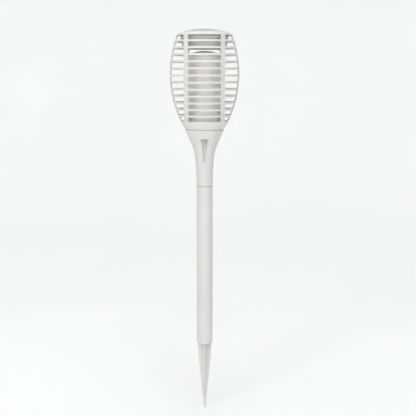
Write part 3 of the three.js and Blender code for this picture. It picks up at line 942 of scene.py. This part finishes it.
def lid_piece():
    """A bezel round the window, a tray for the panel, a skirt with the seal's groove, and bosses."""
    seat, tray, ledge = WINDOW_RADIUS + GAP, PANEL_RADIUS + GAP, 444.4
    skirt_in, skirt_out, skirt_bottom = 25.7, 27.3, 438.6
    groove, groove_bottom, groove_top = 26.5, 441.5, 442.7
    flange, wire_hole, outer_edge, inner_edge = LEDGE_Z + GAP, 2.5, 0.35, 0.3
    outline = [(LID_RADIUS, flange), (LID_RADIUS, dome_height(LID_RADIUS) - outer_edge)]
    outline += dome(LID_RADIUS - outer_edge, seat + inner_edge, 8)
    outline.append((seat, dome_height(seat) - inner_edge))
    outline += fillet(
        [(seat, dome_height(seat) - 0.5), (seat, ledge), (tray, ledge), (tray, LID_FLOOR_TOP),
         (wire_hole, LID_FLOOR_TOP), (wire_hole, LID_FLOOR_BOTTOM), (skirt_in, LID_FLOOR_BOTTOM),
         (skirt_in, skirt_bottom), (skirt_out, skirt_bottom), (skirt_out, groove_bottom),
         (groove, groove_bottom), (groove, groove_top), (skirt_out, groove_top), (skirt_out, flange),
         (LID_RADIUS - 0.1, flange)],
        0.2, 2, closed=False)
    made = turned("lid_bezel", outline, shell, 128, True)
    low, root, stop = MODULE_FLOOR + GAP, LID_FLOOR_BOTTOM + 0.5, LID_FLOOR_BOTTOM - 1
    radius, hole = 2.6, 1.2
    boss = [(0, root), (radius, root), (radius, low + 0.2), (radius - 0.2, low)]
    boss += [(hole, low), (hole, stop), (0, stop)]
    bosses = [moved(turned("boss", boss, shell, 32), x, y) for x, y in boss_places()]
    return combine(made, bosses, "UNION")


place(lid_piece(), "lid", "shell", "lid")


def window_profile():
    underside = 444.7
    outline = [(0, underside), (WINDOW_RADIUS - 0.2, underside), (WINDOW_RADIUS, underside + 0.2)]
    outline.append((WINDOW_RADIUS, dome_height(WINDOW_RADIUS) - 0.25))
    return outline + dome(WINDOW_RADIUS - 0.3, 0, 24)


place(turned("window_dome", window_profile(), clear, 128), "lid", "window_clear", "solar_window")


def panel_profile():
    bottom, top = LID_FLOOR_TOP + GAP, 443.95
    outline = [(0, bottom), (PANEL_RADIUS, bottom), (PANEL_RADIUS, top), (0, top)]
    return fillet(outline, 0.2, 2, closed=False)


def solar_strips():
    """Cells cut to a circle and laid side by side."""
    radius, pitch, gap, low, high = 22.6, 7.6, 0.5, 444.02, 444.26
    strips, steps, least_half = 6, 10, 3
    skin = Skin()
    for strip in range(strips):
        left = -3 * pitch + strip * pitch + gap / 2
        right = left + pitch - gap
        xs = [lerp(left, right, k / steps) for k in range(steps + 1)]
        halves = [math.sqrt(max(radius**2 - x * x, least_half**2)) for x in xs]
        outline = [(x, -half) for x, half in zip(xs, halves)]
        outline += [(x, half) for x, half in zip(xs[::-1], halves[::-1])]
        lower, upper = [skin.ring([(x, y, z) for x, y in outline]) for z in (low, high)]
        skin.faces += [lower[::-1], upper]
        skin.bridge([lower, upper])
    return skin


def busbars():
    """Two flat strips across the cells."""
    skin = Skin()
    reach, half_width, low, high = 22.0, 0.35, 444.2, 444.34
    for y in (-8.5, 8.5):
        half = math.sqrt(reach**2 - y * y)
        skin.box((-half, y - half_width, low), (half, y + half_width, high))
    return skin


place(turned("panel_base", panel_profile(), backing, 96), "lid", "solar_cells", "solar_panel")
place(build("panel_cells", solar_strips(), cells), "lid", "solar_cells")
place(build("panel_busbars", busbars(), tinned), "lid", "nickel")


# ---- Module under the lid ----
def module_piece():
    """The cup, with its battery doorway, the knob's slot and the screws' holes cut through the floor."""
    inner, light_hole, seat_radius, seat_top = MODULE_RADIUS - MODULE_WALL, 6.5, 7.2, 431.6
    outline = fillet(
        [(light_hole, MODULE_BOTTOM), (MODULE_RADIUS, MODULE_BOTTOM), (MODULE_RADIUS, MODULE_TOP),
         (inner, MODULE_TOP), (inner, MODULE_FLOOR), (seat_radius, MODULE_FLOOR),
         (seat_radius, seat_top), (light_hole, seat_top)], 0.6, 4)
    made = turned("module_cup", outline, module_plastic, 96, True)
    low, high = MODULE_BOTTOM - 1, MODULE_FLOOR + 0.1
    hole_radius = 1.2
    hole = [(0, low), (hole_radius, low), (hole_radius, high), (0, high)]

    def opening(name, left, right, y, half):
        return block(name, (left, y - half, low), (right, y + half, high), module_plastic)

    tools = [
        opening("doorway", BATTERY_X - 16.6, BATTERY_X + 14.6, BATTERY_Y, 5.2),
        opening("knob_slot", -3, 3, SWITCH_Y, 1.5),
    ]
    tools += [moved(turned("screw_hole", hole, module_plastic, 24), x, y) for x, y in boss_places()]
    return combine(made, tools, "DIFFERENCE")


place(module_piece(), "lid", "module_plastic", "module_housing")


def screw_piece(name, x, y, seat, length):
    """A pan-head screw, head down, with a cross recess and rings for its thread."""
    head, rise, shank, pitch = 1.9, 1.1, 0.9, 0.8
    root = shank - 0.15
    outline = [(0, -rise), (0.9, -rise + 0.02), (1.45, -0.9), (1.78, -0.55)]
    outline += [(head, -0.15), (head - 0.05, 0), (shank, 0)]
    for turn in range(int((length - 0.6) / pitch)):
        z = 0.3 + turn * pitch
        outline += [(root, z), (shank, z + pitch * 0.4), (root, z + pitch * 0.8)]
    outline += [(root, length - 0.2), (shank - 0.4, length), (0, length)]
    made = turned(name, outline, steel, 32)
    long, short, depth = 1.05, 0.2, 0.6
    arms = [
        block("arm", (-x, -y, -rise - 1), (x, y, -rise + depth), steel)
        for x, y in ((long, short), (short, long))
    ]
    made = combine(made, arms, "DIFFERENCE")
    made.data.transform(Matrix.Translation(Vector((x, y, seat)) * MM))
    return made


for number, (x, y) in enumerate(boss_places(), 1):
    made = screw_piece(f"module_screw_{number}_pan", x, y, MODULE_BOTTOM - GAP, length=9)
    place(made, "lid", "steel", f"module_screw_{number}")
door_thickness = 1.2
door_seat = MODULE_BOTTOM - 2 * GAP - door_thickness
door_screw = screw_piece("door_screw_pan", DOOR_SCREW_X, BATTERY_Y, door_seat, length=1.3)
place(door_screw, "lid", "steel", "door_screw")


def knob_piece():
    """A square slide knob with three grip ribs below."""
    low, high, half = MODULE_FLOOR - 2.6, MODULE_FLOOR, 1
    foot = low + 0.25
    underside = [(-half, foot)]
    for rib in (-0.66, 0, 0.66):
        underside += [(rib - 0.24, foot), (rib - 0.14, low), (rib + 0.14, low), (rib + 0.24, foot)]
    underside.append((half, foot))
    skin = Skin()
    rings = []
    for x, z in underside:
        section = [(-half, z), (half, z), (half, high), (-half, high)]
        rings.append(skin.ring([(x - SWITCH_TRAVEL / 2, y + SWITCH_Y, level) for y, level in section]))
    skin.bridge(rings)
    skin.faces += [rings[0][::-1], rings[-1]]
    return bevelled(build("knob_ribbed", skin, rubber), 0.045, 2, 30)


place(knob_piece(), "switch", "seal_rubber", "switch_knob")


def led_piece(number):
    """A white package with a domed amber lens facing down."""
    angle = tau * (number - 1) / LED_COUNT
    height = 431.1
    middle = Vector((LED_CIRCLE * cos(angle), LED_CIRCLE * sin(angle), height))
    turn = Matrix.Translation(middle * MM) @ Matrix.Rotation(angle, 4, "Z")
    half, thickness = 1.3, 0.5
    base = block(f"led_{number}_package", (-half, -half, 0), (half, half, thickness), package, 0.12)
    lens_outline = [(0, -0.5), (0.35, -0.47), (0.68, -0.36), (0.95, -0.16), (1.05, 0), (0, 0)]
    lens = turned(f"led_{number}_lens", lens_outline, amber, 24)
    for made in (base, lens):
        made.data.transform(turn)
    place(base, "lid", "led", f"led_{number}")
    place(lens, "lid", "led")


for number in range(1, LED_COUNT + 1):
    led_piece(number)


# ---- CAD nodes that keep their own shape ----
def keep(node, material, bevel=0):
    """Joins a node's faces, softens its edges and gives it a finish."""
    made = nodes[node]
    finish_mesh(made.data, material, 180)
    weld = made.modifiers.new("joined", "WELD")
    weld.merge_threshold = 1e-6
    if bevel:
        bevelled(made, bevel, 2, 40)
    else:
        smooth = made.modifiers.new("even_normals", "WEIGHTED_NORMAL")
        smooth.keep_sharp = False


kept = {
    "lid_seal": (rubber, 0),
    "battery_door": (module_plastic, 0.25),
    "control_board": (board, 0.1),
    "light_board": (board, 0.1),
    "light_window": (clear, 0.15),
    "battery_cell": (sleeve, 0.15),
    "battery_contact": (nickel, 0.1),
    "battery_spring": (nickel, 0),
    "driver_chip": (epoxy, 0.15),
    "charge_coil": (epoxy, 0.2),
    "switch_body": (nickel, 0.2),
    **{f"{use}_lead_negative": (black_vinyl, 0) for use in ("panel", "light", "cell")},
    **{f"{use}_lead_positive": (red_vinyl, 0) for use in ("panel", "light", "cell")},
}
for node, (material, bevel) in kept.items():
    keep(node, material, bevel)


# ---- Studio, in metres; the lens in mm ----
def sweep():
    """A pale floor that curves up into a backdrop."""
    half, front, back, radius, top = 4.0, -3.0, 2.2, 1.2, 5.0
    turns = [math.pi / 2 * k / 16 for k in range(1, 17)]
    profile = [(front, 0.0), (back - radius, 0.0)]
    profile += [(back - radius + radius * sin(t), radius - radius * cos(t)) for t in turns]
    profile.append((back, top))
    skin = Skin()
    rings = [skin.ring([(x / MM, y / MM, z / MM) for x in (-half, half)]) for y, z in profile]
    skin.bridge(rings, wrap=False)
    build("studio_sweep", skin, floor_paper(), 180)


sweep()


def area_light(name, position, size, watts):
    """A soft light aimed at the neck."""
    data = bpy.data.lights.new(name, "AREA")
    data.shape = "RECTANGLE"
    data.size, data.size_y = size
    data.energy = watts
    lamp = bpy.data.objects.new(name, data)
    lamp.location = position
    aim = Vector((0, 0, 0.3)) - Vector(position)
    lamp.rotation_euler = aim.to_track_quat("-Z", "Y").to_euler()
    bpy.context.scene.collection.objects.link(lamp)


area_light("key_left", (-0.9, -1.3, 1.2), (0.6, 0.8), 5)
area_light("top_soft", (0.1, -0.2, 1.6), (0.6, 0.6), 1.5)


def studio_world():
    """Even light from front, back and above that falls off to both sides.

    White edges keep a darker line that way. The camera sees a plain pale wall where the sweep ends.
    """
    start, end = 0.12, 0.9  # how far to the side a direction points, from 0 to 1
    front_strength, side_strength, wall_strength = 1.7, 0.02, 0.9
    world = bpy.data.worlds.new("studio")
    t = Tree(world)
    direction = t.node("ShaderNodeTexCoord").outputs["Generated"]
    sideways = t.maths("ABSOLUTE", t.axes(direction)["X"])
    strength = t.spread(
        sideways, front_strength, side_strength, start, end, interpolation_type="SMOOTHSTEP")
    choose = t.node("ShaderNodeMix")
    t.link(t.node("ShaderNodeLightPath").outputs["Is Camera Ray"], choose.inputs["Factor"])
    t.link(strength, choose.inputs["A"])
    choose.inputs["B"].default_value = wall_strength
    background = t.tree.nodes["Background"]
    background.inputs["Color"].default_value = (0.985, 0.993, 1, 1)
    t.link(choose.outputs["Result"], background.inputs["Strength"])
    return world


def studio_camera():
    """The drawing's view: from the front, level with the lantern, looking a little down."""
    lens = bpy.data.cameras.new("camera")
    lens.sensor_width = 36
    lens.lens = 71.296
    camera = bpy.data.objects.new("camera", lens)
    camera.location = (0.00393, -0.95, 0.39877)
    down_deg = 9.2042
    camera.rotation_euler = (math.radians(90 - down_deg), 0, 0)
    bpy.context.scene.collection.objects.link(camera)
    return camera


bpy.context.scene.world = studio_world()
bpy.context.scene.view_settings.view_transform = "Standard"
bpy.context.scene.camera = studio_camera()

bpy.context.view_layer.update()
